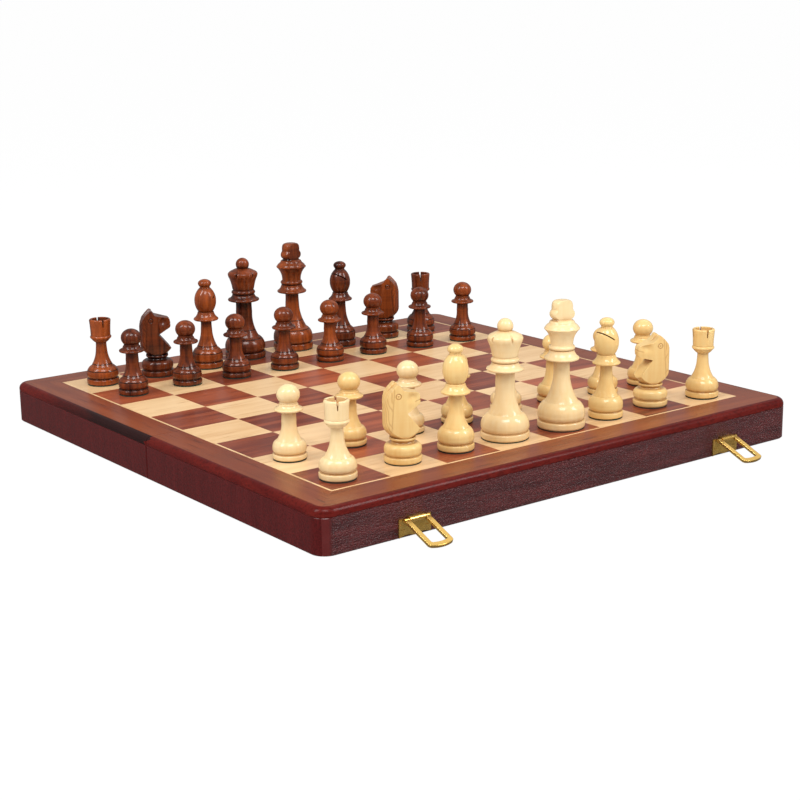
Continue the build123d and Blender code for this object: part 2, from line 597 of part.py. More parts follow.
def knight_base():
    """Turned base of the knight, up to the ring that the head stands on."""
    top = FELT_T + KNIGHT_FOOT_H
    points = foot(KNIGHT_FOOT_R, KNIGHT_FOOT_H, KNIGHT_SWELL_Z, KNIGHT_NECK_R + 0.9, KNIGHT_NECK_Z - 0.8)
    points[-1] = (KNIGHT_NECK_R + 0.9, KNIGHT_NECK_Z - 0.8, (KNIGHT_NECK_Z - top) * 0.16)
    points += [
        (KNIGHT_NECK_R, KNIGHT_NECK_Z, -0.15),
        (KNIGHT_RING_R - 0.3, KNIGHT_RING_Z - 1.0, -0.1),
        (KNIGHT_RING_R - 0.3, KNIGHT_RING_Z + 1.0, 0.7),
        (0, KNIGHT_RING_Z + 1.0, 0),
    ]
    return turned(points)


def knight_blank():
    """Round blank of the head: a bowl that opens from the ring into a straight cylinder."""
    low = KNIGHT_RING_Z + 0.6
    points = [
        (0, low, 0),
        (KNIGHT_RING_R - 0.6, low, 0),
        (KNIGHT_BLANK_R, low + 6.6, 1.2),
        (KNIGHT_BLANK_R, KNIGHT_H + 1, 0),
        (0, KNIGHT_H + 1, 0),
    ]
    return turned(points)


def knight_profile(depth):
    """Side view of the horse's head, sawn through to a depth either side of the middle."""
    low, back = KNIGHT_RING_Z, -KNIGHT_BLANK_R - 1
    ear = KNIGHT_EAR_X
    points = [
        (back, low, 0),
        (KNIGHT_BLANK_R + 1, low, 0),
        (KNIGHT_BLANK_R + 1, KNIGHT_CHEST_Z - 1, 0),
        (-0.8, KNIGHT_THROAT_Z, 0),
        (KNIGHT_NOSE - 0.9, KNIGHT_THROAT_Z + 1.6, 0.2),
        (KNIGHT_NOSE, KNIGHT_NOSE_Z - 1.5, 0.4),
        (KNIGHT_NOSE - 1.0, KNIGHT_NOSE_Z + 1.7, 0.5),
        (ear + 3.4, KNIGHT_H - 4.4, -0.3),
        (ear + 1.9, KNIGHT_H - 3.4, -0.2),
        (ear + 0.5, KNIGHT_H - 0.2, 0.2),
        (ear - 0.6, KNIGHT_H, 0.2),
        (-KNIGHT_BLANK_R + 0.1, KNIGHT_H - 12.5, 2.6),
        (back, KNIGHT_H - 13.5, 0),
    ]
    return extrude(Plane.XZ * outline(points), depth, both=True)


def scoop(side):
    """Gouge along one side of the muzzle, rounded at the cheek, that narrows the nose."""
    run = KNIGHT_NOSE + 5
    drop = KNIGHT_H - 3.4 - KNIGHT_NOSE_Z
    y = side * (KNIGHT_BRIDGE + KNIGHT_SCOOP_R)
    slope = Pos(0, y, KNIGHT_H - 5.4) * Rot(0, 90 + drop * 3.2, 0)
    tool = slope * Pos(0, 0, run / 2) * Cylinder(KNIGHT_SCOOP_R, run)
    return tool + slope * Sphere(KNIGHT_SCOOP_R)


def eye(side):
    """Ring and dot drilled into one cheek."""
    ring = Cylinder(KNIGHT_EYE_R, KNIGHT_CUT * 2) - Cylinder(KNIGHT_EYE_R - KNIGHT_CUT, KNIGHT_CUT * 2)
    dot = Cylinder(KNIGHT_CUT, KNIGHT_CUT * 2)
    return Pos(KNIGHT_EYE_X, side * KNIGHT_FLAT, KNIGHT_EYE_Z) * Rot(90, 0, 0) * (ring + dot)


def mane_cuts(body):
    """Curved veins along the mane, a fine cut deep into the round of the blank."""
    low, high = KNIGHT_CHEST_Z, KNIGHT_H - 8
    step = (high - low) / MANE_LOCKS
    core = Cylinder(KNIGHT_BLANK_R - KNIGHT_CUT, 3 * KNIGHT_H)
    cuts = []
    for i in range(MANE_LOCKS):
        radius = step * 1.15
        ring = Cylinder(radius, 3 * KNIGHT_BLANK_R) - Cylinder(radius - KNIGHT_CUT, 3 * KNIGHT_BLANK_R)
        z = low + (i + 0.4) * step
        place = Pos(-KNIGHT_BLANK_R - radius * 0.25, 0, z) * Rot(90, 0, 0)
        cuts.append((body & (place * ring)) - core)
    return cuts


def knight():
    """Horse's head carved from a turned blank: sawn cheeks, gouged muzzle, split ears."""
    head = knight_blank() & knight_profile(KNIGHT_FLAT)
    for side in (-1, 1):
        head -= scoop(side)
        head -= eye(side)
    half = KNIGHT_EAR_SPLIT / 2
    split = outline([(-half, KNIGHT_H + 0.5, 0), (0, KNIGHT_H - KNIGHT_EAR_DEPTH, 0), (half, KNIGHT_H + 0.5, 0)])
    head -= extrude(Plane.YZ * split, 2 * KNIGHT_BLANK_R, both=True)
    for cut in mane_cuts(head):
        head -= cut
    return knight_base() + head


def felt(foot_r):
    """Disc under a man."""
    return Pos(0, 0, FELT_T / 2) * Cylinder(foot_r - FELT_IN, FELT_T)


MEN = {
    "pawn": (pawn, PAWN_FOOT_R),
    "rook": (rook, ROOK_FOOT_R),
    "knight": (knight, KNIGHT_FOOT_R),
    "bishop": (bishop, BISHOP_FOOT_R),
    "queen": (queen, QUEEN_FOOT_R),
    "king": (king, KING_FOOT_R),
}


def man_on(square):
    """Node name, kind and place of the man that stands on a square, such as e1."""
    file, rank = ord(square[0]) - ord("a"), int(square[1])
    off_x, off_y, turn = SET_OUT[square]
    x = (file + 0.5 - FILES / 2) * SQUARE + off_x
    y = (rank - 0.5 - RANKS) * SQUARE + off_y
    kind = "pawn" if rank in (2, 2 * RANKS - 1) else BACK_RANK[file]
    colour = "white" if rank <= 2 else "black"
    return f"{colour}_{kind}_{square}", kind, Pos(x, y, BOX_H) * Rot(0, 0, turn)


def box_nodes():
    """Wooden parts of both halves.  The far half is the near one swung round upright."""
    ring = rail_ring()
    near = {
        "front_rail": [front_rail(ring)],
        "left_rail": [side_rail(ring, -1)],
        "right_rail": [side_rail(ring, 1)],
        "fold_rail": [fold_rail()],
        "top_panel": [top_panel()],
        "dark_squares": squares(True),
        "light_squares": squares(False) + [stringing()],
        "border_veneer": [border_veneer()],
        "felt_lining": [lining()],
    }
    swapped = {"front_rail": "back_rail", "left_rail": "right_rail", "right_rail": "left_rail"}
    nodes = {f"near_{name}": solids for name, solids in near.items()}
    for name, solids in near.items():
        nodes[f"far_{swapped.get(name, name)}"] = [SWING_ROUND * solid for solid in solids]
    return nodes


def metal_nodes():
    """Hinges, latches and their screws."""
    near_screws = latch_screws() + hinge_screws()
    return {
        "near_hinge_leaves": [hinge_leaf(side * HINGE_X, True) for side in (-1, 1)],
        "far_hinge_leaves": [hinge_leaf(side * HINGE_X, False) for side in (-1, 1)],
        "hinge_pins": [hinge_pin(side * HINGE_X) for side in (-1, 1)],
        "latch_plates": [latch_plate(side * LATCH_X) for side in (-1, 1)],
        "latch_hoop_left": [hoop(-LATCH_X)],
        "latch_hoop_right": [hoop(LATCH_X)],
        "latch_catches": [catch(side * LATCH_X) for side in (-1, 1)],
        "near_screws": near_screws,
        "far_screws": [SWING_ROUND * one for one in near_screws],
    }


def men_nodes():
    """The thirty-two men, each with its felt."""
    made = {kind: (build(), felt(foot_r)) for kind, (build, foot_r) in MEN.items()}
    nodes = {}
    for square in SET_OUT:
        name, kind, place = man_on(square)
        nodes[name] = [place * solid for solid in made[kind]]
    return nodes


def main():
    os.makedirs("parts", exist_ok=True)
    for nodes in (box_nodes(), metal_nodes(), men_nodes()):
        for name, shapes in nodes.items():
            solids = [solid for shape in shapes for solid in shape.solids()]
            export_step(Compound(children=solids), f"parts/{name}.step")


main()
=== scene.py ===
# %% [markdown]
# # A folding chess set
# The box and its men come in as a fixed frame of solids, in metres. Everything below
# gives them their finish: veneers, lacquer, brass and felt, then a floor, lamps and a
# camera. The finishes could be painted by hand in the viewport. A script makes them the
# same way each time, and every number in it can be read and changed.

# %% The frame
import json
from math import radians

import bpy
import numpy as np
from mathutils import Matrix, Vector


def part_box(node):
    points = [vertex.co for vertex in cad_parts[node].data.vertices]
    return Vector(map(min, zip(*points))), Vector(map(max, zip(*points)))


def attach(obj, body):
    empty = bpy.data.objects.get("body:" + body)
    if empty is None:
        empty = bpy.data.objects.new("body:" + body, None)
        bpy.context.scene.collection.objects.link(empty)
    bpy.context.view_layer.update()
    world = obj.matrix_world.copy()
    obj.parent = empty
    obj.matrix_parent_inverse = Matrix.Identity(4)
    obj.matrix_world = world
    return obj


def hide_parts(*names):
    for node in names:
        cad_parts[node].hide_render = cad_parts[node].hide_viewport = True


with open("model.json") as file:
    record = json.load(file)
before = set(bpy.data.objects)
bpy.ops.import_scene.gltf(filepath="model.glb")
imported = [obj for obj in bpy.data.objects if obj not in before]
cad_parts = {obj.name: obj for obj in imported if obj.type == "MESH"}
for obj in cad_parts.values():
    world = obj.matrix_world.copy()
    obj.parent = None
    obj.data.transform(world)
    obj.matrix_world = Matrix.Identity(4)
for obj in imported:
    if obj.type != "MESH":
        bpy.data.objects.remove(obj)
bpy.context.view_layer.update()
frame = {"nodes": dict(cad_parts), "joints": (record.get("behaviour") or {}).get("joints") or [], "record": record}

nodes = frame["nodes"]
bodies = frame["record"]["behaviour"]["bodies"]
node_body = {node: body for body, members in bodies.items() for node in members}
print("frame:", len(nodes), "nodes")

# %% [markdown]
# ## Sizes
# The finishes follow a few sizes of the frame: the side of one square, the height of the
# playing surface and the two sides of the box. They could be typed in again, but a finish
# that asks the frame for them stays right when the box is changed. The felt's thickness
# isn't the size of any node by itself, so it is given here.

# %% Sizes
squares_low, squares_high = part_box("near_dark_squares")
panel_low, panel_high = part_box("far_top_panel")
SQUARE = (squares_high[0] - squares_low[0]) / 8
BOARD_TOP = squares_high[2]
LEFT, RIGHT = panel_low[0], panel_high[0]
FELT = 0.0008
print("square", round(SQUARE, 4), "playing surface", round(BOARD_TOP, 4))
print("sides of the box at", round(LEFT, 4), "and", round(RIGHT, 4))

# %% [markdown]
# ## Shader arithmetic
# Shader sums are easier to read as Python. `Value` wraps one output of a node, and each
# operator adds a Math node. `Paint` holds the nodes of one material, or of the world: its
# `add` makes any node from its type, its settings and the values or links of its sockets.

# %% Shader arithmetic
class Value:
    """One output of a node, which can be used in sums."""

    def __init__(self, paint, socket):
        self.paint, self.socket = paint, socket

    def __add__(self, other):
        return self.paint.math("ADD", self, other)

    def __sub__(self, other):
        return self.paint.math("SUBTRACT", self, other)

    def __rsub__(self, other):
        return self.paint.math("SUBTRACT", other, self)

    def __mul__(self, other):
        return self.paint.math("MULTIPLY", self, other)

    __radd__, __rmul__ = __add__, __mul__


class Paint:
    """The nodes of one material, or of the world."""

    def __init__(self, owner):
        self.owner = owner
        owner.use_nodes = True
        self.tree = owner.node_tree
        self.tree.nodes.clear()

    def add(self, kind, settings=None, sockets=None, out=0):
        """A node of that kind, and the output that is asked for."""
        node = self.tree.nodes.new(kind)
        for key, value in (settings or {}).items():
            setattr(node, key, value)
        for key, value in (sockets or {}).items():
            if isinstance(value, Value):
                self.tree.links.new(value.socket, node.inputs[key])
            else:
                node.inputs[key].default_value = value
        return Value(self, node.outputs[out]) if node.outputs else None

    def math(self, operation, a, b=0.0):
        """A Math node on one or two values."""
        return self.add("ShaderNodeMath", {"operation": operation}, {0: a, 1: b})

    def size(self, value):
        """The value without its sign."""
        return self.math("ABSOLUTE", value)

    def place(self, scale=(1, 1, 1)):
        """Object coordinates, each times its own scale."""
        point = self.add("ShaderNodeTexCoord", out="Object")
        return self.add("ShaderNodeMapping", None, {"Vector": point, "Scale": scale})

    def axis(self, letter):
        """One of the Object coordinates: X, Y or Z."""
        return self.add("ShaderNodeSeparateXYZ", None, {"Vector": self.place()}, out=letter)

    def noise(self, point, scale, detail, distortion=0.0):
        """Cloudy noise from about 0 to 1."""
        sockets = {"Vector": point, "Scale": scale, "Detail": detail, "Distortion": distortion}
        return self.add("ShaderNodeTexNoise", None, sockets)

    def ramp(self, value, start, end):
        """0 up to the start, 1 from the end on, straight between them. It may run downwards."""
        return self.add("ShaderNodeMapRange", None, {0: value, 1: start, 2: end, 3: 0.0, 4: 1.0})

    def blend(self, amount, first, second):
        """From the first colour to the second by an amount from 0 to 1."""
        first, second = (c if isinstance(c, Value) else (*c, 1) for c in (first, second))
        return self.add("ShaderNodeMix", {"data_type": "RGBA"}, {0: amount, 6: first, 7: second}, out=2)

    def lacquer(self, color, roughness, coat, coat_roughness, bump, depth, metallic=0.0, specular=0.5):
        """Principled surface with a clear coat, and a bump of a depth in metres."""
        surface = self.add("ShaderNodeBsdfPrincipled", None, {
            "Base Color": color, "Roughness": roughness, "Metallic": metallic,
            "Coat Weight": coat, "Coat Roughness": coat_roughness, "Specular IOR Level": specular,
            "Normal": self.add("ShaderNodeBump", None, {"Height": bump, "Distance": depth})})
        self.add("ShaderNodeOutputMaterial", None, {"Surface": surface})
        return self.owner


def new_paint(name):
    """Paint for a new material of that name."""
    return Paint(bpy.data.materials.new(name))


print("shader arithmetic ready")

# %% [markdown]
# ## Veneer
# The squares are thin sheets of mahogany and maple under one coat of semi-gloss lacquer.
# Wood grain is noise stretched a long way along the fibre, with short dark pores on top.
# Each square is cut from another part of the sheet, so a number drawn for each cell of the
# board shifts its grain and its tone. The border is laid in four strips that meet in
# mitres, so its fibres turn where one side of the box takes over from the next. A picture
# of wood would repeat; this doesn't.

# %% Veneer
BANDS_ON_X, BANDS_ON_Y = (7, 130, 60), (130, 7, 60)
PORES_ON_X, PORES_ON_Y = (40, 900, 300), (900, 40, 300)
SHEET_SHIFT = (40, 90, 17)
TONE_SPREAD = 0.34


def cell_number(paint):
    """A number from 0 to 1 that is the same all over one square of the board: the white
    noise of the point, counted in squares and rounded down."""
    cell = paint.place((1 / SQUARE, 1 / SQUARE, 0))
    cell = paint.add("ShaderNodeVectorMath", {"operation": "FLOOR"}, {0: cell})
    return paint.add("ShaderNodeTexWhiteNoise", {"noise_dimensions": "3D"}, {"Vector": cell})


def bands_and_pores(paint, bands_point, pores_point):
    """Wide bands and fine pores, each noise on its own stretched point."""
    return paint.noise(bands_point, 1.0, 5.0, 0.6), paint.noise(pores_point, 1.0, 2.0)


def square_grain(paint):
    """Fibres along X, moved on the sheet and made lighter or darker by the cell's number."""
    number = cell_number(paint)
    shift = paint.add("ShaderNodeCombineXYZ", None, {i: number * far for i, far in enumerate(SHEET_SHIFT)})
    point = paint.add("ShaderNodeVectorMath", {"operation": "ADD"}, {0: paint.place(BANDS_ON_X), 1: shift})
    tone = number * TONE_SPREAD - TONE_SPREAD / 2
    return *bands_and_pores(paint, point, paint.place(PORES_ON_X)), tone


def border_grain(paint):
    """Fibres along X on the front and back strips, along Y where |x| is greater than |y|."""
    on_side = paint.math("GREATER_THAN", paint.size(paint.axis("X")), paint.size(paint.axis("Y")))
    bands, pores = bands_and_pores(paint, paint.place(BANDS_ON_X), paint.place(PORES_ON_X))
    side_bands, side_pores = bands_and_pores(paint, paint.place(BANDS_ON_Y), paint.place(PORES_ON_Y))
    return bands + on_side * (side_bands - bands), pores + on_side * (side_pores - pores), 0.0


def veneer(name, deep, pale, pore, gloss, grain):
    """Bands from a deep to a pale tone, with dark pores that are also shallow dents."""
    paint = new_paint(name)
    bands, pores, tone = grain(paint)
    cloud = paint.noise(paint.place(), 14.0, 2.0)
    color = paint.blend(paint.ramp(bands + tone + cloud * 0.3, 0.38, 0.92), deep, pale)
    pores = paint.ramp(pores, 0.60, 0.72)
    color = paint.blend(pores * 0.65, color, pore)
    return paint.lacquer(color, 0.38, gloss, 0.22, bump=pores * -1.0, depth=0.00010, specular=0.36)


mahogany = veneer("mahogany_veneer", deep=(0.140, 0.022, 0.009), pale=(0.400, 0.092, 0.034),
                  pore=(0.05, 0.007, 0.003), gloss=0.30, grain=square_grain)
maple = veneer("maple_veneer", deep=(0.67, 0.42, 0.205), pale=(0.80, 0.55, 0.300),
               pore=(0.48, 0.25, 0.10), gloss=0.28, grain=square_grain)
border = veneer("border_veneer", deep=(0.150, 0.026, 0.008), pale=(0.245, 0.056, 0.016),
                pore=(0.05, 0.008, 0.004), gloss=0.28, grain=border_grain)
print("veneers:", mahogany.name, maple.name, border.name)

# %% [markdown]
# ## Box
# Rails and panel are stained dark red and sprayed. The front rail's lacquer has settled
# into a fine pebble, and the side rails show upright grain through it. Hands have worn a
# black patch on the left edge of the far half. Pebble and grain are far too fine to model,
# so they are bumps on one deep red with painted shade in the pebbles' hollows, and the
# patch is a colour between measured lines.

# %% Box lacquer
PATCH_INSET = (0.0072, 0.0056)
PATCH_START, PATCH_FADE = (0.0148, 0.0152), (0.165, 0.090)
PATCH_WANDER = 0.03
CORNER_INSET = (0.0085, 0.0065)


def worn_patch(paint, grain):
    """1 on the worn patch: near the left side, from just past the fold on, fading along Y.
    The grain makes its ends uneven."""
    near_side = paint.ramp(paint.axis("X"), *(LEFT + inset for inset in PATCH_INSET))
    along = paint.axis("Y") + grain * PATCH_WANDER
    return near_side * paint.ramp(along, *PATCH_START) * paint.ramp(along, *PATCH_FADE)


def box_wood(name, deep, warm, stretch, pebble, depth, shine, coat, worn=False, smooth_corner=False):
    """Deep red stain with stretched grain under a pebbled coat. The hollows between the
    pebbles are painted darker, as painted shade, and the roughness follows the grain a little."""
    paint = new_paint(name)
    grain = paint.noise(paint.place(stretch), 1.0, 4.0, 0.4)
    color = paint.blend(paint.ramp(grain, 0.35, 0.75), deep, warm)
    pebbles = paint.noise(paint.place((0.5, 1, 1)), pebble, 2.0)
    # Painted shade: the hollows between the pebbles are painted a darker red.
    hollow = tuple(part * 0.4 for part in deep)
    color = paint.blend(paint.ramp(pebbles, 0.50, 0.62) * 0.45, color, hollow)
    if worn:
        color = paint.blend(worn_patch(paint, grain) * 0.9, color, (0.010, 0.004, 0.004))
    skin = pebbles + grain * 0.5
    if smooth_corner:
        corner = paint.ramp(paint.size(paint.axis("X")), *(RIGHT - inset for inset in CORNER_INSET))
        color = paint.blend(corner * 0.80, color, (0.105, 0.004, 0.003))
        skin = skin * (1.0 - corner)
    roughness = paint.ramp(grain, 0.2, 0.8) * 0.10 + 0.26
    return paint.lacquer(color, roughness, coat, 0.12, bump=skin, depth=depth, specular=shine)


front_wood = box_wood("front_rail_lacquer", deep=(0.056, 0.005, 0.006), warm=(0.115, 0.013, 0.013),
                      stretch=(25, 260, 260), pebble=1350, depth=0.0017, shine=0.46, coat=0.28,
                      smooth_corner=True)
side_wood = box_wood("side_rail_lacquer", deep=(0.070, 0.004, 0.004), warm=(0.096, 0.006, 0.006),
                     stretch=(200, 240, 30), pebble=900, depth=0.00015, shine=0.14, coat=0.25)
edge_wood = box_wood("panel_edge_lacquer", deep=(0.080, 0.005, 0.004), warm=(0.130, 0.010, 0.006),
                     stretch=(30, 30, 200), pebble=700, depth=0.00004, shine=0.10, coat=0.06, worn=True)
inner_wood = box_wood("fold_rail_lacquer", deep=(0.050, 0.010, 0.008), warm=(0.100, 0.020, 0.015),
                      stretch=(20, 200, 200), pebble=900, depth=0.00008, shine=0.30, coat=0.20)
print("box lacquers:", front_wood.name, side_wood.name, edge_wood.name, inner_wood.name)

# %% [markdown]
# ## Turned wood
# The light men are boxwood and the dark men are stained to rosewood, both dipped in gloss
# lacquer. Stain and dust gather in the turned grooves, and shade falls in them, so an
# occlusion node that looks only at the man itself darkens them: partly stain, partly painted
# shade. Fibres run up the men, from the foot to the head. The dark men also have fine lines
# cut on the lathe, which the solids leave out: each is a band of colour and bump at one height.

# %% Turned wood
LINE_EDGE, LINE_CORE = 0.00045, 0.00012


def scored(paint, heights):
    """Near 1 on thin level lines at some heights above the board, 0 elsewhere: for each
    line a ramp of the distance to it, and the greatest of them."""
    height = paint.axis("Z")
    lines = 0.0
    for line in heights:
        away = paint.size(height - (BOARD_TOP + line))
        lines = paint.math("MAXIMUM", lines, paint.ramp(away, LINE_EDGE, LINE_CORE))
    return lines


def turned_wood(name, pale, deep, groove, streak, stain_and_shade, shade=(0.90, 0.42), scores=(), coat=0.6):
    """Gloss lacquer over wood whose fibres run up the man, darker in its grooves, partly as
    stain and partly as painted shade, and where the carving attribute says that it is cut."""
    paint = new_paint(name)
    fibres = paint.noise(paint.place((420, 420, 36)), 1.0, 4.0, 0.5)
    rings = paint.noise(paint.place((9, 9, 420)), 1.0, 3.0, 0.6)
    clouds = paint.noise(paint.place((1, 1, 0.4)), 42.0, 2.0)
    figure = paint.ramp(fibres * 0.8 + clouds * 0.9 + rings * 0.25, 0.71, 1.24)
    color = paint.blend(figure * streak, pale, deep)
    # Painted shade and stain: grooves that the man closes off from the sky take the groove colour.
    own_shade = {"samples": 6, "only_local": True}
    open_sky = paint.add("ShaderNodeAmbientOcclusion", own_shade, {"Distance": 0.0060}, out="AO")
    color = paint.blend(paint.ramp(open_sky, *shade) * stain_and_shade, color, groove)
    cut = paint.add("ShaderNodeAttribute", {"attribute_name": "carving"}, out="Fac")
    relief = fibres * 0.1
    if scores:
        lines = scored(paint, scores)
        cut = paint.math("MAXIMUM", cut, lines * 0.85)
        relief = relief - lines
    color = paint.blend(cut, color, groove)
    return paint.lacquer(color, 0.34, coat, 0.12, bump=relief, depth=0.0003, specular=0.14)


SCORES = {"pawn": (0.0095, 0.0135), "rook": (0.0105, 0.0150), "knight": (), "bishop": (0.0115, 0.0165),
          "queen": (0.0150, 0.0215), "king": (0.0160, 0.0230)}
ROSEWOODS = {
    "red": {"pale": (0.345, 0.072, 0.013), "deep": (0.050, 0.007, 0.002), "groove": (0.006, 0.001, 0.001)},
    "dark": {"pale": (0.235, 0.045, 0.009), "deep": (0.026, 0.004, 0.002), "groove": (0.005, 0.001, 0.001)},
}
WOODS = {
    "pale": turned_wood("boxwood_pale", pale=(0.80, 0.61, 0.34), deep=(0.76, 0.49, 0.20),
                        groove=(0.40, 0.16, 0.03), streak=0.6, stain_and_shade=0.95),
    "golden": turned_wood("boxwood_golden", pale=(0.78, 0.56, 0.24), deep=(0.71, 0.41, 0.13),
                          groove=(0.36, 0.13, 0.02), streak=0.7, stain_and_shade=0.95),
}
for kind, lines in SCORES.items():
    for stain, colours in ROSEWOODS.items():
        WOODS[stain + "_" + kind] = turned_wood(
            "rosewood_" + stain + "_" + kind, **colours, streak=1.0, stain_and_shade=1.0,
            shade=(0.98, 0.50), scores=lines, coat=0.45)
print("turned woods made:", len(WOODS))

# %% [markdown]
# ## Brass and felt
# Latches, hinges and screws are stamped brass, polished and then handled: bright metal
# whose roughness wanders a little, painted brown as shade where other parts close it off.
# Felt is a mat of short fibres, so it is dark and very rough. Hairs could be grown on it, but
# it mostly shows as a thin line under the men.

# %% Brass and felt
def brass_finish():
    """Metal between two golds, with painted shade: brown where the sky around it is closed off."""
    paint = new_paint("polished_brass")
    wear = paint.noise(paint.place(), 260.0, 3.0)
    color = paint.blend(wear, (0.86, 0.50, 0.10), (0.95, 0.64, 0.20))
    # Painted shade: brass that nearby parts close off from the sky is painted brown.
    open_sky = paint.add("ShaderNodeAmbientOcclusion", {"samples": 6}, {"Distance": 0.0050}, out="AO")
    color = paint.blend(paint.ramp(open_sky, 0.90, 0.25) * 0.7, color, (0.26, 0.10, 0.012))
    return paint.lacquer(color, wear * 0.08 + 0.16, 0.0, 0.1, bump=wear, depth=0.00001, metallic=0.90)


def felt_finish():
    """Dark green mat with a fine speckle."""
    paint = new_paint("dark_felt")
    fibres = paint.noise(paint.place(), 2500.0, 3.0)
    color = paint.blend(fibres, (0.012, 0.020, 0.014), (0.030, 0.045, 0.032))
    return paint.lacquer(color, 0.95, 0.0, 0.5, bump=fibres, depth=0.0002)


brass = brass_finish()
felt = felt_finish()
print("made", brass.name, "and", felt.name)

# %% [markdown]
# ## Finishes go on
# Each node of the box has the right shape already, so it keeps its mesh and gets one of
# the finishes above, chosen by the words in its name.

# %% Box nodes
FINISH_BY_WORD = [
    ("dark_squares", mahogany), ("light_squares", maple), ("border", border), ("felt", felt),
    ("front_rail", front_wood), ("back_rail", front_wood), ("fold_rail", inner_wood),
    ("left_rail", side_wood), ("right_rail", side_wood), ("panel", edge_wood),
    ("latch", brass), ("hinge", brass), ("screws", brass),
]


def dress(node):
    """Gives a node of the box the finish that its name calls for."""
    finish = next(material for word, material in FINISH_BY_WORD if word in node)
    mesh = nodes[node].data
    mesh.materials.clear()
    mesh.materials.append(finish)


box_nodes = [node for node in nodes if not node.startswith(("white_", "black_"))]
for node in box_nodes:
    dress(node)
print("dressed", len(box_nodes), "nodes of the box")

# %% [markdown]
# ## Turned men
# A solid's mesh arrives as loose triangles, which shade as facets. Each man is rebuilt with
# equal corners joined into one point, so that its turned curves shade smoothly, while
# edges sharper than a threshold stay crisp. The felt disc under it gets its own finish. A
# Weld modifier could join the corners too, but arrays give the points back as well, and
# the carved men below need them for their outlines.

# %% Turned men
WELD = 1e-6
CRISP = radians(28)


def joined(node):
    """Points and triangles of a node. Points that agree to a micrometre are one, and
    triangles that lose a side by that are left out."""
    source = nodes[node].data
    points = np.empty(len(source.vertices) * 3)
    source.vertices.foreach_get("co", points)
    points = points.reshape(-1, 3)
    corners = np.empty(len(source.loops), dtype=np.int64)
    source.loops.foreach_get("vertex_index", corners)
    keys = np.round(points / WELD).astype(np.int64)
    _, first, number = np.unique(keys, axis=0, return_index=True, return_inverse=True)
    faces = number.reshape(-1)[corners].reshape(-1, 3)
    whole = (faces[:, 0] != faces[:, 1]) & (faces[:, 1] != faces[:, 2]) & (faces[:, 2] != faces[:, 0])
    return points[first], faces[whole]


def hand_over(man, node):
    """Shades a man and lets it stand in for its node of the frame."""
    man.data.shade_smooth()
    man.data.set_sharp_from_angle(angle=CRISP)
    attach(man, node_body[node])
    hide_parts(node)


def finished_man(node, wood):
    """A man with smooth turnings, wood above and felt where all of a triangle is low."""
    points, faces = joined(node)
    mesh = bpy.data.meshes.new(node + "_finished")
    mesh.from_pydata(points.tolist(), [], faces.tolist())
    mesh.materials.append(wood)
    mesh.materials.append(felt)
    is_felt = points[faces, 2].max(axis=1) < BOARD_TOP + FELT * 1.02
    mesh.polygons.foreach_set("material_index", is_felt.astype(np.int32))
    man = bpy.data.objects.new(node + "_finished", mesh)
    bpy.context.scene.collection.objects.link(man)
    hand_over(man, node)


print("a pawn has", len(joined("white_pawn_a2")[0]), "joined points")

# %% [markdown]
# ## Outlines
# Knights, queens and kings are turned like the rest, and then cut. Their outlines are read
# back from the frame, as the widest radius at each height, so that the carved men keep the
# same feet and collars as the solids that they stand in for. The solids themselves could be
# cut with booleans, which leave ragged shading on fine cuts.

# %% Outlines from the frame
LEVEL = 5e-5
NARROWEST = 0.0025


def man_axis(node):
    """Foot of the axis that the man stands on, from its joint."""
    joint = next(j for j in frame["joints"] if j["child"] == node_body[node])
    return np.array(joint["pos_m"], dtype=float)


def outline_of(node, top):
    """Heights above the board and radii of a man, below a height. The points are sorted
    into levels, and each level keeps its greatest distance from the axis."""
    points, _ = joined(node)
    local = points - man_axis(node)
    radius = np.hypot(local[:, 0], local[:, 1])
    level = np.round(local[:, 2] / LEVEL).astype(int)
    levels = np.unique(level)
    widest = np.zeros(len(levels))
    np.maximum.at(widest, np.searchsorted(levels, level), radius)
    height = levels * LEVEL
    keep = (height < top) & (height >= FELT - 1e-5) & (widest > NARROWEST)
    return height[keep], widest[keep]


def even_rows(radius, height, step):
    """The outline sampled at even steps of its length."""
    length = np.concatenate([[0], np.cumsum(np.hypot(np.diff(radius), np.diff(height)))])
    places = np.linspace(0, length[-1], int(length[-1] / step) + 2)
    return np.interp(places, length, radius), np.interp(places, length, height)


print("outline of a queen:", len(outline_of("white_queen_d1", 0.08)[0]), "heights")

# %% [markdown]
# ## Surface of a carved man
# An outline is wrapped round an axis, which gives a surface of two parameters, height and
# angle: a stack of closed loops. A saw cut is a clamp, because pushing every point beyond a
# plane back onto it leaves exactly the flat that a saw leaves. Clamped points crowd
# together, so each loop is spread out evenly again before it becomes faces.

# %% Loops into a mesh
def even_loops(x, y, z, count):
    """Each row of points is spread evenly along its own closed length."""
    step = np.hypot(np.diff(x, axis=1), np.diff(y, axis=1))
    length = np.concatenate([np.zeros((len(x), 1)), np.cumsum(step, axis=1)], axis=1)
    share = np.linspace(0, 1, count, endpoint=False)

    def spread(grid):
        return np.stack([np.interp(share * row[-1], row, values) for row, values in zip(length, grid)])

    return spread(x), spread(y), spread(z)


def closed_faces(rows, columns):
    """Quads between the rows of a closed tube. Point j of row i has number i * columns + j,
    and the last column meets the first."""
    i, j = np.meshgrid(np.arange(rows - 1), np.arange(columns), indexing="ij")
    here, beside = i * columns + j, i * columns + (j + 1) % columns
    return np.stack([here, beside, beside + columns, here + columns], axis=-1).reshape(-1, 4)


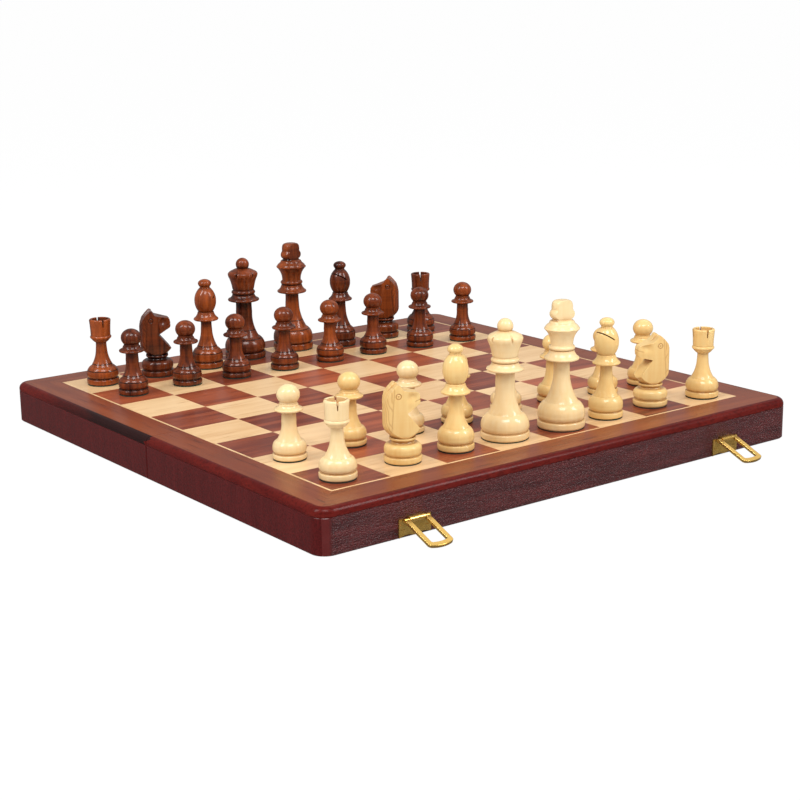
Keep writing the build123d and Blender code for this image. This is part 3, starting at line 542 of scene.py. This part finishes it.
def tube_mesh(name, x, y, z, place, turn):
    """Mesh of a stack of closed loops, capped by a point at the bottom and one at the top,
    turned about its axis and set on its place."""
    rows, columns = x.shape
    body = np.stack([x, y, z], axis=-1).reshape(-1, 3)
    caps = np.array([[x[i].mean(), y[i].mean(), z[i].mean()] for i in (0, -1)])
    spin = np.array([[np.cos(turn), -np.sin(turn), 0], [np.sin(turn), np.cos(turn), 0], [0, 0, 1]])
    points = np.concatenate([body, caps]) @ spin.T + place
    j = np.arange(columns)
    beside = (j + 1) % columns
    bottom = rows * columns
    last = bottom - columns
    low = np.stack([np.full(columns, bottom), beside, j], axis=-1)
    high = np.stack([np.full(columns, bottom + 1), last + j, last + beside], axis=-1)
    faces = closed_faces(rows, columns).tolist() + low.tolist() + high.tolist()
    mesh = bpy.data.meshes.new(name)
    mesh.from_pydata(points.tolist(), [], faces)
    return mesh


print("a tube of 3 rows and 8 columns has", len(closed_faces(3, 8)), "quads")

# %% [markdown]
# ## Felt under a carved man
# A felt disc goes under each carved man. It is its own small closed tube, as wide as the
# disc in the frame, and it is joined to the wood as one object with two finishes, because
# the two are glued and move as one. How deep the wood is cut at each point goes along as an
# attribute, which the turned wood reads to darken the cuts.

# %% Felt under a carved man
FELT_COLUMNS = 72


def felt_disc(node, place):
    """Short tube of felt: two equal circles, one at the bottom and one a felt's thickness up."""
    local = joined(node)[0] - place
    disc = local[local[:, 2] < FELT * 0.5]
    radius = np.hypot(disc[:, 0], disc[:, 1]).max()
    angle = np.linspace(0, 2 * np.pi, FELT_COLUMNS, endpoint=False)
    x, y = np.stack([radius * np.cos(angle)] * 2), np.stack([radius * np.sin(angle)] * 2)
    z = np.stack([np.zeros(FELT_COLUMNS), np.full(FELT_COLUMNS, FELT)])
    return tube_mesh(node + "_felt", x, y, z, place, 0.0)


def put_together(node, wood_mesh, wood, place, carving=()):
    """Joins wood and felt and hands the man over. The carving is given for the first points
    of the wood and is 0 for the rest."""
    values = np.zeros(len(wood_mesh.vertices), dtype=np.float32)
    values[:len(carving)] = carving
    depth = wood_mesh.attributes.new("carving", "FLOAT", "POINT")
    depth.data.foreach_set("value", values)
    disc_mesh = felt_disc(node, place)
    for mesh in (wood_mesh, disc_mesh):
        mesh.materials.append(wood)
        mesh.materials.append(felt)
    all_felt = np.ones(len(disc_mesh.polygons), dtype=np.int32)
    disc_mesh.polygons.foreach_set("material_index", all_felt)
    man = bpy.data.objects.new(node + "_carved", wood_mesh)
    disc = bpy.data.objects.new(node + "_felt", disc_mesh)
    for piece in (man, disc):
        bpy.context.scene.collection.objects.link(piece)
    with bpy.context.temp_override(active_object=man, selected_editable_objects=[man, disc]):
        bpy.ops.object.join()
    hand_over(man, node)


print("felt discs are", round(1000 * FELT, 2), "mm thick")

# %% [markdown]
# ## Queens
# The queen's coronet is a flared rim with a shallow cone and a ball on top. Five small
# notches are filed across the rim. Each could be a boolean with a round file; a soft dip in
# the reach at its angle gives the same notch with clean shading.

# %% Queens
CORONET = [(0.0532, 0.0082), (0.0560, 0.0087), (0.0590, 0.0095), (0.0612, 0.0103), (0.0622, 0.0108),
           (0.0634, 0.0112), (0.0644, 0.0113), (0.0652, 0.0111), (0.0661, 0.0102), (0.0671, 0.0083),
           (0.0680, 0.0064), (0.0686, 0.0048), (0.0690, 0.0042)]
CORONET_FROM = 0.0530
BALL_R, BALL_Z = 0.0050, 0.0716
NOTCHES, RIM_R = 5, 0.0112
NOTCH_Z, NOTCH_TALL, NOTCH_WIDE, NOTCH_DEEP = 0.0648, 0.0024, 0.00065, 0.0015
TURNED_STEP, QUEEN_COLUMNS = 0.00045, 180


def bell(value, width):
    """1 in the middle, falling smoothly to 0 beyond the width."""
    return np.exp(-((value / width) ** 2))


def queen_rows(node):
    """The queen's outline: the frame's own up to the ring, then the coronet and the ball."""
    height, radius = outline_of(node, CORONET_FROM)
    rim_z, rim_r = np.array(CORONET).T
    rise = np.linspace(-56, 88, 60) * np.pi / 180
    height = np.concatenate([height, rim_z, BALL_Z + BALL_R * np.sin(rise)])
    radius = np.concatenate([radius, rim_r, BALL_R * np.cos(rise)])
    return even_rows(radius, height, TURNED_STEP)


def make_queen(node, wood, turn):
    """Height and angle give a point, and each notch takes some reach away from the rim. Its
    depth is a bell of the height times a bell of the arc to the nearest notch."""
    radius, height = queen_rows(node)
    angle = np.linspace(0, 2 * np.pi, QUEEN_COLUMNS, endpoint=False)[None, :]
    half = np.pi / NOTCHES
    across = (np.mod(angle + half, 2 * half) - half) * RIM_R
    tall = bell(height - NOTCH_Z, NOTCH_TALL)[:, None]
    out = radius[:, None] - NOTCH_DEEP * tall * bell(across, NOTCH_WIDE)
    place = man_axis(node)
    z = np.broadcast_to(height[:, None], out.shape)
    mesh = tube_mesh(node + "_carved", out * np.cos(angle), out * np.sin(angle), z, place, turn)
    put_together(node, mesh, wood, place)


print("queens:", NOTCHES, "notches in the coronet")

# %% [markdown]
# ## Kings
# The king's cross is a turned finial, two drums with a dip between them, sawn flat on two
# sides. The clamp on one axis is the whole saw.

# %% Kings
CROSS = [(0.0655, 0.0108), (0.0664, 0.0104), (0.0673, 0.0094), (0.0681, 0.0084), (0.0687, 0.0081),
         (0.0694, 0.0079), (0.0699, 0.0071), (0.0703, 0.0062), (0.0708, 0.0060), (0.0714, 0.0067),
         (0.0722, 0.0075), (0.0734, 0.0080), (0.0748, 0.0080), (0.0758, 0.0076), (0.0766, 0.0070),
         (0.0773, 0.0067), (0.0781, 0.0068), (0.0800, 0.0067), (0.0815, 0.0063), (0.0824, 0.0055),
         (0.0829, 0.0040), (0.0830, 0.0008)]
CROSS_FROM, SAWN_FROM = 0.0652, 0.0706
CROSS_FLAT = 0.0043
KING_STEP, KING_CIRCLE, KING_COLUMNS = 0.00042, 361, 170


def make_king(node, wood, turn):
    """Turned outline, with every point of the finial clamped between two saw planes."""
    height, radius = outline_of(node, CROSS_FROM)
    top_z, top_r = np.array(CROSS).T
    radius, height = even_rows(np.concatenate([radius, top_r]), np.concatenate([height, top_z]), KING_STEP)
    angle = np.linspace(0, 2 * np.pi, KING_CIRCLE)[None, :]
    x, y = radius[:, None] * np.cos(angle), radius[:, None] * np.sin(angle)
    x = np.where((height > SAWN_FROM)[:, None], np.clip(x, -CROSS_FLAT, CROSS_FLAT), x)
    z = np.broadcast_to(height[:, None], x.shape)
    x, y, z = even_loops(x, y, z, KING_COLUMNS)
    place = man_axis(node)
    put_together(node, tube_mesh(node + "_carved", x, y, z, place, turn), wood, place)


print("kings: cross", round(2000 * CROSS_FLAT, 1), "mm thick")

# %% [markdown]
# ## Knights
# The knight starts as a turned blank. Two saw cuts leave flat cheeks, and a third takes out
# the throat, so the front of the head is an outline of its own. It is written as points of
# reach and height for the two ways in which the jaws are held, level and raised. Every
# knight looks along X here, and is turned when it is put down.

# %% Outline of a knight
CHEST = [(0.0130, 0.0160), (0.0130, 0.0182), (0.0108, 0.0196)]
EARS = [(-0.0008, 0.0452), (-0.0018, 0.0464), (-0.0028, 0.0482), (-0.0036, 0.0485)]
LEVEL_JAW = CHEST + [
    (0.0014, 0.0318), (0.0013, 0.0324), (0.0090, 0.0338), (0.0101, 0.0347), (0.0106, 0.0370),
    (0.0104, 0.0397), (0.0094, 0.0413), (0.0010, 0.0440)] + EARS
RAISED_JAW = CHEST + [
    (0.0016, 0.0308), (0.0018, 0.0314), (0.0096, 0.0354), (0.0104, 0.0364), (0.0105, 0.0390),
    (0.0100, 0.0416), (0.0090, 0.0428), (0.0006, 0.0447)] + EARS
FRONTS = {"b1": RAISED_JAW, "b8": RAISED_JAW, "g1": LEVEL_JAW, "g8": LEVEL_JAW}
BACK = [(0.0160, -0.0130), (0.0350, -0.0130), (0.0370, -0.0119), (0.0400, -0.0110), (0.0430, -0.0096),
        (0.0455, -0.0076), (0.0475, -0.0056), (0.0485, -0.0044)]
BLANK = [(0.0160, 0.0072), (0.0168, 0.0077), (0.0180, 0.0089), (0.0195, 0.0103), (0.0210, 0.0113),
         (0.0225, 0.0118), (0.0240, 0.0120), (0.0500, 0.0120)]
FOOT_TOP = 0.0161
CARVED_STEP = 0.00034
UNSAWN = 1.0


def knight_rows(node):
    """Per row: height, radius of the blank, how far back and forward the wood may reach,
    and the number of rows in the foot, where no saw has been."""
    foot_z, foot_r = outline_of(node, FOOT_TOP)
    foot_r, foot_z = even_rows(foot_r, foot_z, TURNED_STEP)
    front_x, front_z = even_rows(*np.array(FRONTS[node[-2:]]).T, CARVED_STEP)
    free = np.full(len(foot_z), UNSAWN)
    height = np.concatenate([foot_z, front_z])
    radius = np.concatenate([foot_r, np.interp(front_z, *np.array(BLANK).T)])
    back = np.concatenate([-free, np.interp(front_z, *np.array(BACK).T)])
    return height, radius, back, np.concatenate([free, front_x]), len(foot_z)


print("a knight has", len(knight_rows("white_knight_b1")[0]), "rows")

# %% [markdown]
# The muzzle is thinned with a gouge. The eye is a ring and a dot from a punch, the mane is a
# vein with long wavy strands, and the mouth is one short cut. Sculpting could do all of it,
# but formulas put the same cuts on both cheeks and on all four knights: smooth steps for
# the gouge, and a bell of the distance to a line for each cut of the graver.

# %% Gouge and graver
NOSE_X, MUZZLE_Z, THINNED = (0.0004, 0.0104), (0.0312, 0.0334), 0.44
HOLLOW_X, HOLLOW_Z, HOLLOW_LONG, HOLLOW_TALL, HOLLOWED = 0.0050, 0.0405, 0.0030, 0.0024, 0.20
EYE_X, EYE_Z, EYE_R = -0.0040, 0.0417, 0.0016
CHEEK_Y = (0.0055, 0.0062)
MANE_LOW, MANE_HIGH, MANE_X = (0.0190, 0.0215), (0.0475, 0.0455), (-0.0074, -0.0080)
MANE_MIDDLE, BACK_R = 0.034, 0.011
VEIN_LEAN, STRAND_LEAN, STRAND_GAP = 0.08, 0.22, 0.0021
WAVE, WAVE_LENGTH = 0.0005, 0.0019
MOUTH_X, MOUTH_Z, MOUTH_SLOPE = (0.0060, 0.0075), 0.0373, 0.25
MANE_LINE, RING_LINE, DOT, MOUTH_LINE = 0.00030, 0.00026, 0.00042, 0.00024


def smooth_step(value, start, end):
    """0 up to the start and 1 from the end on, with a soft start and end. The end may lie
    below the start."""
    t = np.clip((value - start) / (end - start), 0, 1)
    return t * t * (3 - 2 * t)


def gouged(x, y, z):
    """Cheeks thinned towards the nose, with a hollow between the eye and the nose."""
    thin = 1 - THINNED * smooth_step(x, *NOSE_X) * smooth_step(z, *MUZZLE_Z)
    hollow = HOLLOWED * bell(x - HOLLOW_X, HOLLOW_LONG) * bell(z - HOLLOW_Z, HOLLOW_TALL)
    return y * (thin - hollow)


def graver(x, y, z):
    """Depth of the fine cuts, from 0 to 1: ring and dot of the eye, vein and strands of the
    mane, mouth. Each is a bell of the distance to its line, kept to its own area."""
    reach = np.hypot(x - EYE_X, z - EYE_Z)
    eye = np.maximum(bell(reach - EYE_R, RING_LINE), bell(reach, DOT))
    eye = eye * smooth_step(np.abs(y), *CHEEK_Y)
    in_mane = smooth_step(z, *MANE_LOW) * smooth_step(z, *MANE_HIGH)
    vein = bell(x - MANE_X[0] - VEIN_LEAN * (z - MANE_MIDDLE), MANE_LINE) * in_mane
    around = np.arctan2(np.abs(y), -x) * BACK_R
    strand = around + WAVE * np.sin(z / WAVE_LENGTH) + STRAND_LEAN * (z - MANE_MIDDLE)
    to_strand = np.abs(np.mod(strand / STRAND_GAP, 1.0) - 0.5) * STRAND_GAP
    mane = bell(to_strand, MANE_LINE) * smooth_step(x, *MANE_X) * in_mane
    mouth = bell(z - MOUTH_Z - MOUTH_SLOPE * (x - MOUTH_X[0]), MOUTH_LINE) * smooth_step(x, *MOUTH_X)
    return np.maximum.reduce([eye, vein * 0.6, mane * 0.55, mouth * 0.8])


print("strands of the mane are", round(1000 * STRAND_GAP, 1), "mm apart")

# %% [markdown]
# All of it is worked out on one grid of rows and angles: clamps for the saw, then the gouge,
# then the graver. The ears are the last saw cut, a V from front to back. Its clamp works on
# the heights, so the top of the head is first closed with rings that it can push down.

# %% Carving a knight
CHEEK = 0.0069
EAR_LOW, EAR_SLOPE = 0.0434, 1.9
LID = np.linspace(0.94, 0.04, 12)[:, None]
CUT_DEEP, CUT_DARK = 0.00035, 0.75
KNIGHT_CIRCLE, KNIGHT_COLUMNS = 721, 190


def softer(grid):
    """Each point moved half way to the middle of its two neighbours in the loop."""
    return (np.roll(grid, 1, 1) + 2 * grid + np.roll(grid, -1, 1)) / 4


def with_lid(grid):
    """The grid and, after it, copies of its last loop drawn in towards that loop's middle."""
    middle = grid[-1].mean()
    return np.concatenate([grid, middle + LID * (grid[-1:] - middle)])


def make_knight(node, wood, turn):
    """The blank's circle in each row, clamped by the saw cuts, softened, gouged and
    engraved. The heights are then clamped under a V that rises with the distance from the
    middle plane."""
    height, radius, back, front, foot_rows = knight_rows(node)
    head = np.arange(len(height))[:, None] >= foot_rows
    angle = np.linspace(0, 2 * np.pi, KNIGHT_CIRCLE)[None, :]
    x = np.clip(radius[:, None] * np.cos(angle), back[:, None], front[:, None])
    y = radius[:, None] * np.sin(angle)
    y = np.where(head, np.clip(y, -CHEEK, CHEEK), y)
    x, y, z = even_loops(x, y, np.broadcast_to(height[:, None], x.shape), KNIGHT_COLUMNS)
    x, y = np.where(head, softer(x), x), np.where(head, softer(y), y)
    y = np.where(head, gouged(x, y, z), y)
    cut = np.where(head, graver(x, y, z), 0.0)
    inward = 1 - CUT_DEEP * cut / (np.hypot(x, y) + 1e-6)
    x, y, z = with_lid(x * inward), with_lid(y * inward), with_lid(z)
    z = np.minimum(z, EAR_LOW + EAR_SLOPE * np.abs(y))
    place = man_axis(node)
    mesh = tube_mesh(node + "_carved", x, y, z, place, turn)
    put_together(node, mesh, wood, place, (cut * CUT_DARK).ravel())


print("knights: cheeks", round(2000 * CHEEK, 1), "mm apart")

# %% [markdown]
# ## Every man gets its wood
# Sets are never quite even: some light men are paler and some dark men are redder. Knights
# look where their player left them, and the kings' crosses and the queens' coronets are
# turned as they come. The angles are in degrees, from X towards Y.

# %% All the men
TURNED_TO = {"b1": -22, "g1": 154, "b8": -24, "g8": 137, "d1": 38, "d8": 67, "e1": -103, "e8": -78}
CARVERS = {"knight": make_knight, "queen": make_queen, "king": make_king}
PALER = ("a1", "a2", "d1", "e1", "c2", "e2")
REDDER = ("e8", "g8", "a8", "e7", "h7", "c8")
men = sorted(set(nodes) - set(box_nodes))
for node in men:
    colour, kind, square = node.split("_")
    if colour == "white":
        wood = WOODS["pale" if square in PALER else "golden"]
    else:
        wood = WOODS[("red_" if square in REDDER else "dark_") + kind]
    if kind in CARVERS:
        CARVERS[kind](node, wood, radians(TURNED_TO[square]))
    else:
        finished_man(node, wood)
print("men finished:", len(men))

# %% [markdown]
# ## Floor
# The set stands on a pale sweep that reads as white all round. Strong lamps could make a
# grey floor white, but they would bleach the wood. So the camera sees the card's own light,
# with a little of its lit surface mixed in for the shadow. Reflections see it much dimmer,
# or a pale haze would lie over the dark lacquer.

# %% Floor
CARD_WHITE, CARD_SHOWN, CARD_IN_GLOSS = 1.02, 0.95, 0.20
CARD_REACH, CARD_Z = 60.0, -0.0003


def floor_finish():
    """Card that glows for the camera and, dimmer, for reflections, and is plain to the
    light: the share of glow is its share for the camera plus all of it in gloss."""
    paint = new_paint("white_card")
    card = paint.add("ShaderNodeBsdfDiffuse", None, {"Color": (0.86, 0.86, 0.86, 1)})
    to_camera = paint.add("ShaderNodeLightPath", out="Is Camera Ray")
    to_gloss = paint.add("ShaderNodeLightPath", out="Is Glossy Ray")
    white = paint.blend(to_gloss, (1, 1, 1), (CARD_IN_GLOSS, CARD_IN_GLOSS, CARD_IN_GLOSS))
    glow = paint.add("ShaderNodeEmission", None, {"Color": white, "Strength": CARD_WHITE})
    seen = to_camera * CARD_SHOWN + to_gloss
    surface = paint.add("ShaderNodeMixShader", None, {0: seen, 1: card, 2: glow})
    paint.add("ShaderNodeOutputMaterial", None, {"Surface": surface})
    return paint.owner


floor_mesh = bpy.data.meshes.new("floor")
around = [(-1, -1), (1, -1), (1, 1), (-1, 1)]
corners = [(x * CARD_REACH, y * CARD_REACH, CARD_Z) for x, y in around]
floor_mesh.from_pydata(corners, [], [(0, 1, 2, 3)])
floor_mesh.materials.append(floor_finish())
floor = bpy.data.objects.new("floor", floor_mesh)
bpy.context.scene.collection.objects.link(floor)
print("floor laid,", 2 * CARD_REACH, "m wide")

# %% [markdown]
# ## World
# Around the set is an even white room. It is white to the camera, so that it runs into the
# floor, and softer as light and in gloss, so that shadows stay and the lacquer keeps its
# colour. A studio picture could light it too, but then its windows would show in the brass.

# %% World
SOFT_SKY, GLOSS_SKY = 0.50, 0.32


def studio_world():
    """Strength 1 to the camera and through glass. Elsewhere it is the soft value, or the
    gloss value in a reflection: soft plus glossy times the difference of the two."""
    world = bpy.data.worlds.new("studio")
    bpy.context.scene.world = world
    paint = Paint(world)
    to_camera = paint.add("ShaderNodeLightPath", out="Is Camera Ray")
    through_glass = paint.add("ShaderNodeLightPath", out="Is Transmission Ray")
    in_gloss = paint.add("ShaderNodeLightPath", out="Is Glossy Ray")
    light = in_gloss * (GLOSS_SKY - SOFT_SKY) + SOFT_SKY
    strength = paint.math("MAXIMUM", paint.math("MAXIMUM", to_camera, through_glass), light)
    sky = paint.add("ShaderNodeBackground", None, {"Color": (1, 1, 1, 1), "Strength": strength})
    paint.add("ShaderNodeOutputWorld", None, {"Surface": sky})


studio_world()
print("sky", SOFT_SKY, "as light,", GLOSS_SKY, "in gloss")

# %% [markdown]
# ## Lamps
# Four softboxes stand round the set: one high in front, a tall one at the left and one at
# the right, and a weak one behind that gives the brass hoops something to reflect. The
# first three are small and high, which makes small bright highlights on the turned wood and
# keeps a wide glare off the board. One large lamp would be simpler, but it would leave the
# lacquer looking dull. All of them face the middle of the board.

# %% Lamps
MIDDLE = (0, 0, 0.03)


def softbox(name, place, size, watts):
    """Rectangular lamp at a place, facing the middle of the board."""
    lamp = bpy.data.lights.new(name, "AREA")
    lamp.shape = "RECTANGLE"
    lamp.size, lamp.size_y = size
    lamp.energy = watts
    holder = bpy.data.objects.new(name, lamp)
    facing = (Vector(MIDDLE) - Vector(place)).to_track_quat("-Z", "Y").to_matrix().to_4x4()
    holder.matrix_world = Matrix.Translation(place) @ facing
    bpy.context.scene.collection.objects.link(holder)


softbox("overhead_softbox", place=(-0.5, -0.9, 1.5), size=(0.8, 0.6), watts=17)
softbox("left_window", place=(-1.25, 0.1, 1.25), size=(0.45, 0.9), watts=14)
softbox("back_softbox", place=(0.95, 0.35, 1.25), size=(0.9, 0.9), watts=1.5)
softbox("right_window", place=(0.9, -1.2, 1.2), size=(0.45, 0.8), watts=14)
print("lamps:", len(bpy.data.lights))

# %% [markdown]
# ## Camera
# A short telephoto stands off the near left corner, a little above the men's heads. A
# normal lens would have to come closer, and would make the near corner of the box too big.

# %% Camera
camera = bpy.data.cameras.new("camera")
camera.lens = 75.0
camera.sensor_width = 36
camera.shift_x = -0.0229
camera.shift_y = -0.0045
camera.clip_end = 200
viewer = bpy.data.objects.new("camera", camera)
stand = Vector((-0.681, -0.914, 0.312))
aim = Vector((0.002, -0.029, 0.028))
roll = radians(-0.62)
facing = (aim - stand).to_track_quat("-Z", "Y").to_matrix().to_4x4()
viewer.matrix_world = Matrix.Translation(stand) @ facing @ Matrix.Rotation(roll, 4, "Z")
bpy.context.scene.collection.objects.link(viewer)
bpy.context.scene.camera = viewer
bpy.context.scene.view_settings.view_transform = "Standard"
print("camera at", [round(c, 3) for c in stand])
